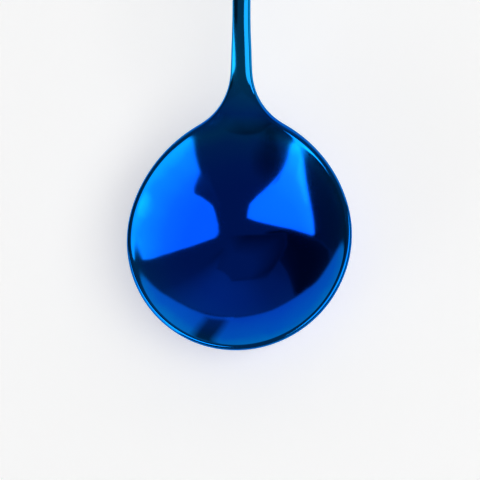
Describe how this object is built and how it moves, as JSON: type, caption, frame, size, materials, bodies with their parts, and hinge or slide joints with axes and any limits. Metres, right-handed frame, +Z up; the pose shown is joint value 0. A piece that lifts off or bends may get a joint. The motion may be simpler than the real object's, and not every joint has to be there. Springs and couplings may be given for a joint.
{
  "type": "cupping spoon",
  "caption": "Round-bowled cupping spoon in mirror-polished blue-coated stainless steel, with a slim arched handle.",
  "frame": {"origin": "the point on the underside of the bowl that touches the table, on the spoon's centre line", "axes": "+Z up off the table, +Y from the bowl towards the end of the handle, +X across the bowl"},
  "size_m": [0.046, 0.165, 0.0223],
  "materials": {
    "blue_steel": "mirror-polished stainless steel with a deep blue titanium coating"
  },
  "bodies": {
    "root": {"spoon": "blue_steel"}
  },
  "joints": []
}
